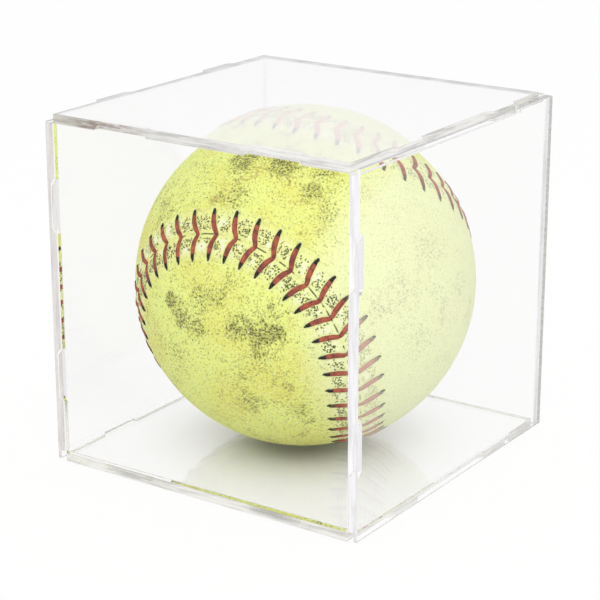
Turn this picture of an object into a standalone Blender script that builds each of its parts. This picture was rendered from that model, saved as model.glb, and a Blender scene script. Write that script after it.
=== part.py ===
"""Clear display case for a softball, with the ball in it.

Metres, +Z up. The origin lies under the middle of the case, on the surface that it stands on.
The front looks along -Y and the right side along +X.

The case is six flat sheets in two halves. The front shell is the top, front and bottom sheets,
bonded edge to face. The rear shell is the left, right and rear sheets. Tongues on the front
shell's sheets run in rebates along the side walls and seat in notches at their front ends, so
the rear shell slides on from behind and stays by its fit. The ball stands loose inside: a
core, two equal figure-eight covers, and one thread laced over the seam between them.
"""

from math import pi, radians

import bmesh
import bpy
import numpy as np
from mathutils import Matrix, Vector

# Case: its sheets, and the room that they leave beside, under and over the ball
sheet_thickness = 0.0026
ball_side_gap = 0.0003
ball_rest_gap = 0.0003
ball_head_gap = 0.0013

# How the rear shell sits over the front shell
slip_gap = 0.0004
side_wall_lift = 0.0004
left_top_drop = 0.0024
right_top_drop = 0.00125
rear_top_drop = 0.0009

# Tongues, each given by where it starts along its edge, from the front or from the base
tongue_start_shares = (0.18, 0.665)
tongue_length = 0.016
tongue_taper = 0.002
tongue_lap = 0.0012
tongue_gap = 0.0003

# Tabs that lock the front sheet into the edges of the top and bottom sheets
tab_length = 0.018
tab_taper = 0.001
tab_depth = 0.0013

# Ball
cover_radius = 0.0483
cover_thickness = 0.0026
core_gap = 0.0005
ball_lie = (radians(5.78), radians(-35.47), radians(90.62))

# Seam, as angles on the ball: how near it comes to a cover's neck, and how far it swings out
seam_neck = radians(23.93)
seam_swing = radians(21.61)
seam_neck_ripple = radians(0.98)
seam_swing_ripple = radians(0.19)
cover_spine_reach = radians(100)
cover_setback = 0.0005
lip_roll = 0.0013
lip_drop = 0.0005

# Thread
stitches = 88
stitch_phase_share = 0.22
spine_width = 0.0005
spine_depth = 0.0012
thread_clearance = 0.00015
thread_height = 0.00035
tip_height = 0.0002
leg_width = 0.0013
tip_width = 0.0008
leg_reach = 0.0071
leg_sweep = 0.0028
leg_middle_share = 0.5

# Fineness of the round pieces
cover_rows = 5
inner_rows = 4
core_segments = 40
core_rings = 20
seam_samples = 4096
merge_distance = 0.00001
smooth_angle = radians(50)

# How far a cutter runs past the face that it cuts
overrun = 0.002

# Colour and roughness of what the pieces are made of
acrylic = ((0.97, 0.98, 0.98), 0.04)
acrylic_transmission = 0.9
acrylic_alpha = 0.35
pressed_fibre = ((0.62, 0.5, 0.34), 0.9)
optic_leather = ((0.78, 0.87, 0.18), 0.5)
waxed_thread = ((0.56, 0.14, 0.1), 0.6)

# The case is sized round the ball with its thread, square in plan
thread_base = cover_radius + thread_clearance
inner_half_width = thread_base + thread_height + ball_side_gap
half_width = inner_half_width + sheet_thickness
half_depth = half_width
case_width = half_width * 2
case_depth = half_depth * 2
ball_height = sheet_thickness + ball_rest_gap + cover_radius
ball_centre = Vector((0, 0, ball_height))
case_height = ball_height + cover_radius + ball_head_gap + sheet_thickness

# Where things fit, from the sizes above
shell_half_width = inner_half_width - slip_gap
front_face = -half_depth
shell_rear = half_depth - sheet_thickness - slip_gap
tongue_reach = slip_gap + tongue_lap
rebate_depth = tongue_lap + tongue_gap
inner_radius = cover_radius - cover_thickness
core_radius = inner_radius - core_gap


def clear_scene():
    """Empty the scene of whatever it opened with."""
    for obj in list(bpy.data.objects):
        bpy.data.objects.remove(obj, do_unlink=True)


def principled(name, finish, transmission=0.0, alpha=1.0):
    """A plain Principled material with the piece's own colour and gloss."""
    colour, roughness = finish
    material = bpy.data.materials.new(name)
    material.use_nodes = True
    shader = material.node_tree.nodes["Principled BSDF"]
    shader.inputs["Base Color"].default_value = (*colour, 1)
    shader.inputs["Roughness"].default_value = roughness
    shader.inputs["Metallic"].default_value = 0
    shader.inputs["Transmission Weight"].default_value = transmission
    shader.inputs["Alpha"].default_value = alpha
    return material


def clear_acrylic(name):
    """Water-clear acrylic sheet for one of the case's panels."""
    return principled(name, acrylic, acrylic_transmission, acrylic_alpha)


def add_object(name, mesh, material, parent=None):
    """Put a finished mesh in the scene under its own name and material."""
    mesh.materials.clear()
    mesh.materials.append(material)
    obj = bpy.data.objects.new(name, mesh)
    bpy.context.scene.collection.objects.link(obj)
    obj.parent = parent
    return obj


def add_axis(name, place, turn=(0, 0, 0)):
    """An empty on a joint's axis, for the pieces that move with it."""
    axis = bpy.data.objects.new(name, None)
    axis.empty_display_size = sheet_thickness
    axis.location = place
    axis.rotation_euler = turn
    bpy.context.scene.collection.objects.link(axis)
    return axis


def keep_place(obj, parent):
    """Make a piece follow its axis without moving it."""
    obj.parent = parent
    obj.matrix_parent_inverse = Matrix.Translation(-parent.location)


def extruded(name, outline, plane, start, thickness):
    """A flat piece: an outline in one of the planes xy, xz or yz, given thickness along the third axis."""
    third = {"xy": 2, "xz": 1, "yz": 0}[plane]
    first, second = [axis for axis in range(3) if axis != third]
    work = bmesh.new()
    corners = []
    for along, across in outline:
        place = [0.0, 0.0, 0.0]
        place[first] = along
        place[second] = across
        place[third] = start
        corners.append(work.verts.new(place))
    face = work.faces.new(corners)
    swept = bmesh.ops.extrude_face_region(work, geom=[face])
    push = [0.0, 0.0, 0.0]
    push[third] = thickness
    moved = [item for item in swept["geom"] if isinstance(item, bmesh.types.BMVert)]
    bmesh.ops.translate(work, verts=moved, vec=push)
    bmesh.ops.recalc_face_normals(work, faces=work.faces)
    mesh = bpy.data.meshes.new(name)
    work.to_mesh(mesh)
    work.free()
    return mesh


def lug(start, length, taper, edge, reach):
    """The four corners of a tongue or tab: a lug that stands out of an edge and narrows towards its tip."""
    return [
        (start, edge),
        (start + taper, edge + reach),
        (start + length - taper, edge + reach),
        (start + length, edge),
    ]


def tongue_starts(length):
    """Where the tongues start along an edge of this length."""
    return [share * length for share in tongue_start_shares]


def tab_starts(length):
    """Where the front sheet's tabs start, each centred on the stretch that a side tongue would take."""
    return [start + (tongue_length - tab_length) / 2 - half_width for start in tongue_starts(length)]


def turned(points):
    """The same points with their two coordinates exchanged."""
    return [(second, first) for first, second in points]


def mirrored(points):
    """The points on the other side of the middle, in the order that keeps going round."""
    return [(-first, second) for first, second in reversed(points)]


def side_edge(starts, base):
    """The tongues along a sheet's right edge, walked away from base."""
    points = []
    for start in starts:
        points += turned(lug(base + start, tongue_length, tongue_taper, shell_half_width, tongue_reach))
    return points


def flat_sheet(name, start):
    """The top or bottom sheet, with tongues along both side edges."""
    right = [(shell_half_width, front_face)]
    right += side_edge(tongue_starts(case_depth), front_face)
    right += [(shell_half_width, shell_rear)]
    outline = right + mirrored(right)
    return extruded(name, outline, "xy", start, sheet_thickness)


def front_sheet(name):
    """The front sheet: it stands on the bottom sheet, under the top one, with tongues on both side edges."""
    low = sheet_thickness
    high = case_height - sheet_thickness
    right = [(shell_half_width, low)]
    right += side_edge(tongue_starts(case_height), 0)
    right += [(shell_half_width, high)]
    bottom = []
    top = []
    for start in tab_starts(case_width):
        bottom += lug(start, tab_length, tab_taper, low, -tab_depth)
        top += lug(start, tab_length, tab_taper, high, tab_depth)
    outline = bottom + right + list(reversed(top)) + mirrored(right)
    return extruded(name, outline, "xz", front_face, sheet_thickness)


def cutter(name, outline, plane, start, thickness):
    """A hidden solid that cuts its shape from a sheet."""
    mesh = extruded(name, outline, plane, start, thickness)
    obj = bpy.data.objects.new(name, mesh)
    obj.hide_render = True
    obj.display_type = "WIRE"
    bpy.context.scene.collection.objects.link(obj)
    return obj


def cut(obj, tool):
    """Take a cutter's shape out of a piece."""
    modifier = obj.modifiers.new(tool.name, "BOOLEAN")
    modifier.operation = "DIFFERENCE"
    modifier.solver = "EXACT"
    modifier.object = tool


def rectangle(low, high):
    """The corners of a rectangle from its two opposite corners."""
    return [low, (high[0], low[1]), high, (low[0], high[1])]


def cut_tab_seats(sheet, sheet_start, tab_side):
    """Notch the top or bottom sheet where the front sheet's tabs come into it."""
    edge = sheet_start + sheet_thickness if tab_side < 0 else sheet_start
    for number, start in enumerate(tab_starts(case_width)):
        outline = lug(start, tab_length, tab_taper, edge, tab_side * tab_depth)
        past = edge - tab_side * overrun
        outline = [(start, past)] + outline + [(start + tab_length, past)]
        depth = sheet_thickness + overrun
        cut(sheet, cutter(f"{sheet.name}_tab_seat_{number}", outline, "xz", front_face - overrun, depth))


def cut_side_seats(wall, side, top):
    """Cut a side wall's inner face: a rebate along its top and bottom edges, and notches at its front end."""
    face = side * inner_half_width
    cut_from = face - side * overrun
    cut_width = side * (rebate_depth + overrun)
    rear_tongue = front_face + tongue_starts(case_depth)[-1]
    rebate_end = rear_tongue + tongue_length + tongue_gap
    rebates = {
        "top": (case_height - sheet_thickness - tongue_gap, top + overrun),
        "bottom": (side_wall_lift - overrun, sheet_thickness + tongue_gap),
    }
    for where, (low, high) in rebates.items():
        outline = rectangle((front_face - overrun, low), (rebate_end, high))
        cut(wall, cutter(f"{wall.name}_{where}_rebate", outline, "yz", cut_from, cut_width))
    for number, start in enumerate(tongue_starts(case_height)):
        seat = lug(start - tongue_gap, tongue_length + tongue_gap * 2, tongue_taper, 0, rebate_depth)
        outline = [(cut_from, start - tongue_gap)]
        outline += [(face + side * depth, height) for height, depth in seat]
        outline += [(cut_from, start + tongue_length + tongue_gap)]
        reach = sheet_thickness + tongue_gap + overrun
        cut(wall, cutter(f"{wall.name}_notch_{number}", outline, "xz", front_face - overrun, reach))


def build_front_shell():
    """Top, front and bottom sheets, which stay together."""
    top_start = case_height - sheet_thickness
    bottom = add_object("bottom_panel", flat_sheet("bottom_panel", 0), clear_acrylic("bottom_acrylic"))
    cut_tab_seats(bottom, 0, -1)
    add_object("front_panel", front_sheet("front_panel"), clear_acrylic("front_acrylic"))
    top = add_object("top_panel", flat_sheet("top_panel", top_start), clear_acrylic("top_acrylic"))
    cut_tab_seats(top, top_start, 1)


def build_rear_shell():
    """Left, right and rear sheets, which slide off together towards the rear."""
    slide = add_axis("rear_shell_slide", (0, half_depth, 0))
    walls = {"left_panel": (-1, left_top_drop), "right_panel": (1, right_top_drop)}
    for name, (side, drop) in walls.items():
        top = case_height - drop
        outline = rectangle((front_face, side_wall_lift), (half_depth, top))
        mesh = extruded(name, outline, "yz", side * inner_half_width, side * sheet_thickness)
        wall = add_object(name, mesh, clear_acrylic(f"{name}_acrylic"))
        cut_side_seats(wall, side, top)
        keep_place(wall, slide)
    outline = rectangle(
        (-inner_half_width, side_wall_lift), (inner_half_width, case_height - rear_top_drop)
    )
    rear_start = half_depth - sheet_thickness
    mesh = extruded("rear_panel", outline, "xz", rear_start, sheet_thickness)
    keep_place(add_object("rear_panel", mesh, clear_acrylic("rear_acrylic")), slide)


def seam_curve(turn):
    """Points of the seam on a ball of radius 1, for turn from 0 to 4 pi."""
    tilt = pi / 2 - (pi / 2 - seam_neck) * np.cos(turn) + seam_neck_ripple * np.cos(3 * turn)
    swing = turn / 2 + seam_swing * np.sin(2 * turn) + seam_swing_ripple * np.sin(4 * turn)
    return np.stack([np.sin(tilt) * np.cos(swing), np.sin(tilt) * np.sin(swing), np.cos(tilt)], -1)


def seam_places(shares):
    """Points at shares of the seam's length, with the directions along and across it, and its length."""
    turn = np.linspace(0, 4 * pi, seam_samples + 1)
    points = seam_curve(turn)
    length = np.concatenate([[0], np.cumsum(np.linalg.norm(np.diff(points, axis=0), axis=1))])
    wanted = np.interp(np.mod(shares, 1) * length[-1], length, turn)
    place = seam_curve(wanted)
    step = turn[1]
    along = seam_curve(wanted + step) - seam_curve(wanted - step)
    along /= np.linalg.norm(along, axis=1, keepdims=True)
    return place, along, np.cross(place, along), length[-1]


def slerp(first, second, share):
    """Points that lie this share of the way from first to second on the unit ball."""
    angle = np.arccos(np.clip((first * second).sum(1, keepdims=True), -1, 1))
    mixed = np.sin((1 - share) * angle) * first + np.sin(share * angle) * second
    return mixed / np.sin(angle)


def closed_grid(name, rows):
    """A closed skin over a grid of points, rows by stations, whose stations go round."""
    count, stations, _ = rows.shape
    row, station = np.meshgrid(np.arange(count - 1), np.arange(stations), indexing="ij")
    after = (station + 1) % stations
    corners = (row * stations + station, (row + 1) * stations + station)
    corners += ((row + 1) * stations + after, row * stations + after)
    mesh = bpy.data.meshes.new(name)
    mesh.from_pydata(rows.reshape(-1, 3), [], np.stack(corners, -1).reshape(-1, 4))
    work = bmesh.new()
    work.from_mesh(mesh)
    bmesh.ops.remove_doubles(work, verts=work.verts, dist=merge_distance)
    bmesh.ops.recalc_face_normals(work, faces=work.faces)
    work.to_mesh(mesh)
    work.free()
    mesh.shade_smooth()
    mesh.set_sharp_from_angle(angle=smooth_angle)
    return mesh


def cover_mesh():
    """One figure-eight cover: a skin from its spine out to the seam, over a rounded lip, and back beneath.

    The spine is an arc over the neck, from lobe to lobe. Each seam point is joined to the
    nearest point of the spine, and the rows of the skin are shares of the way between them.
    """
    place, _, _, _ = seam_places(np.arange(stitches) / stitches)
    nearest = np.clip(np.arctan2(place[:, 1], place[:, 2]), -cover_spine_reach, cover_spine_reach)
    spine = np.stack([np.zeros(stitches), np.sin(nearest), np.cos(nearest)], -1)
    angle = np.arccos((place * spine).sum(1, keepdims=True))
    edge = slerp(place, spine, cover_setback / (cover_radius * angle))
    roll = slerp(place, spine, (cover_setback + lip_roll) / (cover_radius * angle))
    rows = [spine * cover_radius]
    rows += [slerp(roll, spine, 1 - row / cover_rows) * cover_radius for row in range(1, cover_rows)]
    rows += [roll * cover_radius, edge * (cover_radius - lip_drop), edge * inner_radius]
    rows += [slerp(edge, spine, row / inner_rows) * inner_radius for row in range(1, inner_rows)]
    rows += [spine * inner_radius]
    return closed_grid("cover", np.array(rows))


def thread_mesh():
    """The lacing: a spine down the seam, with a swept-back leg on each side of it at every stitch.

    Each stitch has two stations on the spine, where its legs start and end. A leg is a bar of
    three sections, at the spine, halfway and at its hole, each of four points.
    """
    _, _, _, seam_length = seam_places(np.zeros(1))
    width_share = leg_width / (seam_length * cover_radius)
    starts = (np.arange(stitches) + stitch_phase_share) / stitches
    shares = np.stack([starts, starts + width_share], -1).reshape(-1)
    place, along, across, _ = seam_places(shares)
    levels = (cover_radius - spine_depth, thread_base, thread_base + thread_height)
    sections = ((leg_middle_share, leg_width, thread_height), (1, tip_width, tip_height))
    verts = []
    for side in (-1, 1):
        edge = place + across * (side * spine_width / 2 / cover_radius)
        edge /= np.linalg.norm(edge, axis=1, keepdims=True)
        verts += [edge * level for level in levels]
    count = stitches * 2
    left, right = (0, count, 2 * count), (3 * count, 4 * count, 5 * count)
    faces = []
    for station in range(count):
        after = (station + 1) % count
        faces.append((left[0] + after, left[0] + station, right[0] + station, right[0] + after))
        faces.append((left[2] + station, left[2] + after, right[2] + after, right[2] + station))
        for base in (left, right):
            faces.append((base[0] + station, base[0] + after, base[1] + after, base[1] + station))
            if station % 2:
                faces.append((base[1] + station, base[1] + after, base[2] + after, base[2] + station))
    points = [point for block in verts for point in block]
    for side, base in ((-1, left), (1, right)):
        for stitch in range(stitches):
            first, last = 2 * stitch, 2 * stitch + 1
            middle = (place[first] + place[last]) / 2
            ring = [base[1] + first, base[1] + last, base[2] + last, base[2] + first]
            for part, bar_width, rise in sections:
                reach = middle + across[first] * (side * part * leg_reach / cover_radius)
                reach = reach - along[first] * (part * leg_sweep / cover_radius)
                half = along[first] * (bar_width / 2 / cover_radius)
                section = []
                for end, level in ((-1, 0), (1, 0), (1, rise), (-1, rise)):
                    direction = reach + end * half
                    direction = direction / np.linalg.norm(direction)
                    section.append(len(points))
                    points.append(direction * (thread_base + level))
                for corner in range(4):
                    beside = (corner + 1) % 4
                    faces.append((ring[corner], ring[beside], section[beside], section[corner]))
                ring = section
            faces.append(tuple(ring))
    mesh = bpy.data.meshes.new("seam_thread")
    mesh.from_pydata(points, [], faces)
    work = bmesh.new()
    work.from_mesh(mesh)
    bmesh.ops.recalc_face_normals(work, faces=work.faces)
    work.to_mesh(mesh)
    work.free()
    mesh.shade_smooth()
    mesh.set_sharp_from_angle(angle=smooth_angle)
    return mesh


def core_mesh():
    """The round core."""
    mesh = bpy.data.meshes.new("ball_core")
    work = bmesh.new()
    bmesh.ops.create_uvsphere(work, u_segments=core_segments, v_segments=core_rings, radius=core_radius)
    work.to_mesh(mesh)
    work.free()
    mesh.shade_smooth()
    return mesh


def build_ball():
    """Core, two covers and thread, about an empty at the ball's centre that gives the ball its lie."""
    centre = add_axis("ball_centre", ball_centre, ball_lie)
    add_object("ball_core", core_mesh(), principled("pressed_fibre", pressed_fibre), centre)
    leather = principled("optic_leather", optic_leather)
    skin = cover_mesh()
    add_object("cover_panel_a", skin, leather, centre)
    other = add_object("cover_panel_b", skin, leather, centre)
    other.matrix_local = Matrix.Rotation(pi, 4, Vector((1, 1, 0)))
    add_object("seam_thread", thread_mesh(), principled("waxed_thread", waxed_thread), centre)


clear_scene()
build_front_shell()
build_rear_shell()
build_ball()
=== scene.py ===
"""Looks of a clear display case with a softball in it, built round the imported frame.

The case is six acrylic sheets in two half shells. The ball is a pressed core under two dyed
leather covers, laced together along one seam. Lengths are in metres, in the frame's own
coordinates: +Z up, the front sheet towards -Y, the ball's centre over the origin.
"""

import logging
from dataclasses import dataclass, field
from enum import Enum, IntEnum
from math import pi, radians

import bmesh
import bpy
import numpy as np
from mathutils import Euler, Matrix, Vector


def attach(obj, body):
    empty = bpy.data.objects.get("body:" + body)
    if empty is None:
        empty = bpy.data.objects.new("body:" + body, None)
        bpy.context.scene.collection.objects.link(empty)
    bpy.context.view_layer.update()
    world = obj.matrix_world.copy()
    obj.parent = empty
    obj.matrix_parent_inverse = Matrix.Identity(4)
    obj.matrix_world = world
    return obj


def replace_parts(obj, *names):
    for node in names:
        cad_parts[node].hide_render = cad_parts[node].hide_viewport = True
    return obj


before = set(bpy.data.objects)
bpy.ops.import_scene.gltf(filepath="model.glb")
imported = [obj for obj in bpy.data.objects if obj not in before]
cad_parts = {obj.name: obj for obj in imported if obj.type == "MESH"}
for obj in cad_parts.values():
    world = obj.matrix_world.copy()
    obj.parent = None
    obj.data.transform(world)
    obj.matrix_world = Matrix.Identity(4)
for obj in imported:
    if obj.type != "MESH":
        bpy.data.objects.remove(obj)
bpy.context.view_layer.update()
log = logging.getLogger("display_case")

# the level way to the right of the near post, and how far along it the painted light steps up
POST_WAY = (0.8406, 0.5417, 0.0)
POST_STEP = (0.0115, 0.0150)

Triple = tuple[float, float, float]
Colour = Triple
Pair = tuple[float, float]
Socket = bpy.types.NodeSocket
Paint = Socket | Colour
Items = bpy.types.bpy_prop_collection
Material = bpy.types.Material
Mesh = bpy.types.Mesh
Array = np.ndarray


class Body(Enum):
    """The bodies of the frame that a piece can ride on."""

    FRONT_SHELL = "front_shell"
    REAR_SHELL = "rear_shell"
    SOFTBALL = "softball"


class Slot(Enum):
    """The record's material slots. Nothing in this script uses them."""

    ACRYLIC = "clear_acrylic"
    LEATHER = "optic_leather"
    THREAD = "waxed_thread"


class Patch(IntEnum):
    """The finishes of one sheet, in the order of its mesh's materials."""

    FACE = 0
    END = 1
    # the third slot: ends painted darker as painted shade, or on the front sheet its tabs
    SHADED_OR_TAB = 2
    TONGUE = 3


class Graph:
    """The node tree of a material or world, with a short method for each kind of node in use."""

    def __init__(self, name: str, library: Items | None = None) -> None:
        """Start an empty tree.

        Args:
            name: The material's or world's name.
            library: Where it is kept, or None for a material.
        """
        library = bpy.data.materials if library is None else library
        self.block = library.new(name)
        self.block.use_nodes = True
        self.tree = self.block.node_tree
        self.tree.nodes.clear()

    def add(self, kind: str, inputs: dict | None = None, **settings: object) -> bpy.types.Node:
        """Add a node.

        Args:
            kind: The node's type, without the words ShaderNode in front.
            inputs: What goes into its sockets, by name or number.
            settings: Its own options.

        Returns:
            The node.
        """
        node = self.tree.nodes.new("ShaderNode" + kind)
        for name, value in settings.items():
            setattr(node, name, value)
        for socket, value in (inputs or {}).items():
            if isinstance(value, Socket):
                self.tree.links.new(value, node.inputs[socket])
            else:
                paint = node.inputs[socket].type == "RGBA"
                node.inputs[socket].default_value = (*value, 1.0) if paint else value
        return node

    def out(self, kind: str, *values: object, **settings: object) -> Socket:
        """The first output of a new node that has these values in its first sockets."""
        return self.add(kind, dict(enumerate(values)), **settings).outputs[0]

    def math(self, operation: str, *values: Socket | float) -> Socket:
        """One of Blender's sums, on one to three values."""
        return self.out("Math", *values, operation=operation)

    def times(self, first: Socket, second: Socket | float) -> Socket:
        """The product of two values."""
        return self.math("MULTIPLY", first, second)

    def vector(self, operation: str, first: Socket, second: Socket | Triple) -> Socket:
        """One of Blender's sums on two vectors, or a measure of them."""
        node = self.add("VectorMath", {0: first, 1: second}, operation=operation)
        return node.outputs["Value" if operation in ("DOT_PRODUCT", "DISTANCE") else "Vector"]

    def parts(self, vector: Socket) -> Items:
        """A vector's three parts."""
        return self.add("SeparateXYZ", {0: vector}).outputs

    def span(
        self, value: Socket, low: float, high: float, start: float = 0.0, end: float = 1.0
    ) -> Socket:
        """A smooth step, from start where the value is low to end where it is high."""
        return self.out("MapRange", value, low, high, start, end, interpolation_type="SMOOTHSTEP")

    def mix(self, colour: Paint, *layers: tuple[Socket, Paint], blend: str = "MIX") -> Socket:
        """A colour with others mixed over it in turn.

        Args:
            colour: The lowest one.
            layers: The share and the colour of each of the others.
            blend: Blender's name of the way to mix.

        Returns:
            The mixed colour.
        """
        for share, other in layers:
            inputs = {0: share, 6: colour, 7: other}
            colour = self.add("Mix", inputs, data_type="RGBA", blend_type=blend).outputs[2]
        return colour

    def noise(
        self, place: Socket, size: float, detail: float = 2.0, roughness: float = 0.5,
        distortion: float = 0.0,
    ) -> Socket:
        """Cloudy noise from 0 to 1, with clouds of this size."""
        inputs = {"Vector": place, "Scale": 1 / size, "Detail": detail, "Roughness": roughness}
        return self.add("TexNoise", inputs | {"Distortion": distortion}).outputs[0]

    def bent(
        self, place: Socket, waves: float, reach: float, detail: float = 2.0, middle: float = 0.0
    ) -> Socket:
        """Coordinates pushed about by noise.

        Args:
            place: The coordinates.
            waves: The noise's clouds in a metre.
            reach: How far noise of 1 pushes.
            detail: How many finer layers it has.
            middle: The noise that pushes nothing.

        Returns:
            The pushed coordinates.
        """
        inputs = {"Vector": place, "Scale": waves, "Detail": detail}
        drift = self.add("TexNoise", inputs).outputs["Color"]
        drift = self.vector("SUBTRACT", drift, (middle,) * 3)
        return self.vector("ADD", place, self.vector("MULTIPLY", drift, (reach,) * 3))

    def cells(self, place: Socket, size: float, feature: str = "F1") -> Items:
        """The measures of a pattern of cells of this size."""
        inputs = {"Vector": place, "Scale": 1 / size}
        return self.add("TexVoronoi", inputs, feature=feature).outputs

    def bump(self, height: Socket, depth: float, strength: float = 1.0) -> Socket:
        """A bumpy normal, where a height of 1 stands this deep over 0."""
        inputs = {"Height": height, "Distance": depth, "Strength": strength}
        return self.add("Bump", inputs).outputs[0]

    def place(self) -> Socket:
        """The point on the piece, in the frame's coordinates at rest."""
        return self.add("TexCoord").outputs["Object"]

    def finish(self, shader: Socket, output: str = "OutputMaterial") -> bpy.types.ID:
        """Send a shader to the output, and give back the material or world."""
        self.add(output, {"Surface": shader})
        return self.block

    def solid(
        self, colour: Socket, roughness: float, normal: Socket, shine: float = 0.5
    ) -> Material:
        """A material that light doesn't enter."""
        inputs = {"Base Color": colour, "Roughness": roughness, "Specular IOR Level": shine}
        return self.finish(self.add("BsdfPrincipled", inputs | {"Normal": normal}).outputs[0])


@dataclass(frozen=True)
class Acrylic:
    """Clear cast acrylic, handled and a little dusty outside.

    Lamps and bounced light pass it unbent, so that it shades little. A ray that has bounced
    about inside the sheets meets a painted white glow, which stands in for the light of such
    surroundings.
    """

    tint: Colour = (0.985, 0.985, 0.985)
    passed: Colour = (0.97, 0.97, 0.97)
    # painted light: the white glow that a ray meets after bouncing long inside the sheets
    spent_glow: Colour = (0.84, 0.83, 0.85)
    spent_mirrored: float = 2.5
    spent_bounces: float = 9.5
    dust: Colour = (0.86, 0.86, 0.86)
    sheen: Colour = (0.15, 0.15, 0.15)
    floor_sheen: Colour = (0.5, 0.5, 0.5)
    floor_roughness: float = 0.06
    bend: float = 1.49
    film_bend: float = 3.0
    film_angles: Pair = (0.36, 0.50)
    film: float = 0.32
    upper_film: float = 0.18
    dust_depth: float = 0.158
    lowest_slope: float = 0.05
    sawn: tuple[Colour, Colour] = ((0.57, 0.56, 0.53), (0.92, 0.91, 0.86))
    buffed: tuple[Colour, Colour] = ((0.76, 0.75, 0.76), (0.97, 0.96, 0.98))
    # painted shade: the darker streak colours of the ends in the third slot
    darkened_shade: tuple[Colour, Colour] = ((0.34, 0.34, 0.34), (0.50, 0.50, 0.50))
    level_waves: Triple = (60.0, 60.0, 900.0)
    upright_waves: Triple = (500.0, 500.0, 60.0)
    streaks: Pair = (0.34, 0.6)
    # painted reflection: the brownish colour of the stitches seen in the lid's front end
    stitch_reflection: Colour = (0.25, 0.17, 0.155)
    # painted shade: how much darker the upward ends, the far left and the left half are
    upper_shade: Colour = (0.55, 0.55, 0.55)
    left_shade: Colour = (0.92, 0.89, 0.85)
    middle_shade: Colour = (0.88, 0.88, 0.88)
    # painted reflection: the noise and the levels of the brownish spots of the stitches
    reflected_stitch_waves: Triple = (140.0, 140.0, 700.0)
    reflected_stitch_levels: Pair = (0.42, 0.55)
    high: Pair = (0.06, 0.09)
    left: Pair = (-0.026, -0.016)
    middle: Pair = (0.0, 0.030)
    # painted reflection: where the brownish spots of the stitches begin, at the left
    reflected_stitches: Pair = (-0.042, -0.038)
    upwards: Pair = (0.6, 0.9)
    # painted shade: the grey of the bands along the lid's left and rear edges, where its ends look
    # grey through it
    rim: Colour = (0.58, 0.58, 0.59)
    rim_left: Pair = (-0.0489, -0.0484)
    rim_margin: float = 0.0024
    rim_growth: float = 0.026
    rim_rear: Pair = (0.0443, 0.0449)
    rim_patch: float = 0.006
    end_roughness: float = 0.16
    streak_depth: float = 0.00003
    centre: Triple = (0.0, 0.0, 0.0517)

    def shader(
        self, graph: Graph, inputs: dict, layers: tuple[tuple[Socket, Colour], ...] = ()
    ) -> Material:
        """A shader round one Principled node.

        Args:
            graph: The tree to build in.
            inputs: What goes into the Principled node.
            layers: The share and colour of each layer over it: dust, and the grey of painted shade.

        Returns:
            The material.
        """
        clear = graph.add("BsdfPrincipled", {"IOR": self.bend, **inputs}).outputs[0]
        for share, colour in layers:
            clear = graph.out("MixShader", share, clear, graph.out("BsdfDiffuse", colour))
        light = graph.add("LightPath").outputs
        mirrored = graph.math("GREATER_THAN", light["Glossy Depth"], self.spent_mirrored)
        long = graph.math("GREATER_THAN", light["Ray Depth"], self.spent_bounces)
        spent_glow = graph.math("MAXIMUM", mirrored, long)
        # painted light: after many bounces inside the sheets the acrylic glows white, for the
        # surroundings' light
        clear = graph.out("MixShader", spent_glow, clear, graph.out("Emission", self.spent_glow, 1.0))
        unbent = graph.math("MAXIMUM", light["Is Shadow Ray"], light["Is Diffuse Ray"])
        passed = graph.out("BsdfTransparent", self.passed)
        return graph.finish(graph.out("MixShader", unbent, clear, passed))

    def rim_shade_share(self, graph: Graph) -> Socket:
        """How much painted shade greys the lid's upper face along its left and rear edges, where its
        ends look grey through it.

        Args:
            graph: The tree to build in.

        Returns:
            The share of painted shade: a margin that widens from front to rear, and a level one
            behind.
        """
        place = graph.place()
        side, back, level = graph.parts(place)
        margin = graph.math("MULTIPLY_ADD", back, self.rim_growth, self.rim_margin)
        left = graph.span(graph.math("SUBTRACT", side, margin), *self.rim_left, 1.0, 0.0)
        edges = graph.math("MAXIMUM", left, graph.span(back, *self.rim_rear))
        patch = graph.span(graph.noise(place, self.rim_patch, detail=3.0), 0.35, 0.65, 0.45, 0.9)
        lid = graph.math("GREATER_THAN", level, self.high[1])
        return graph.times(graph.times(edges, patch), lid)

    def face(self, name: str, roughness: float, sheen: Colour) -> Material:
        """The broad faces.

        Outside they have a film from handling, which mirrors light at a low angle. On top they
        have dust, which shows more the lower the angle.

        Args:
            name: The material's name.
            roughness: How scratched the sheet is.
            sheen: The tint of what it mirrors when looked at squarely.

        Returns:
            The material.
        """
        graph = Graph(name)
        facing = graph.add("LayerWeight", {"Blend": 0.5}).outputs["Facing"]
        shape = graph.add("NewGeometry").outputs
        from_centre = graph.vector("SUBTRACT", graph.place(), self.centre)
        outwards = graph.vector("DOT_PRODUCT", shape["Normal"], from_centre)
        outside = graph.math("GREATER_THAN", outwards, 0.0)
        outside = graph.times(outside, graph.math("SUBTRACT", 1.0, shape["Backfacing"]))
        rise = graph.parts(shape["Normal"])[2]
        upper = graph.times(outside, graph.math("GREATER_THAN", rise, 0.5))
        strength = graph.math("MULTIPLY_ADD", upper, self.upper_film, self.film)
        film = graph.times(outside, graph.span(facing, *self.film_angles))
        slope = graph.math("MAXIMUM", graph.math("SUBTRACT", 1.0, facing), self.lowest_slope)
        through = graph.math("EXPONENT", graph.math("DIVIDE", -self.dust_depth, slope))
        dusty = graph.times(upper, graph.math("SUBTRACT", 1.0, through))
        # dust over the upper faces, then the painted shade of the lid's grey bands along its left
        # and rear edges
        return self.shader(graph, {
            "Base Color": self.tint, "Roughness": roughness, "Transmission Weight": 1.0,
            "Specular Tint": sheen, "Coat Weight": graph.times(film, strength),
            "Coat Roughness": 0.0, "Coat IOR": self.film_bend,
        }, ((dusty, self.dust), (graph.times(upper, self.rim_shade_share(graph)), self.rim)))

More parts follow.
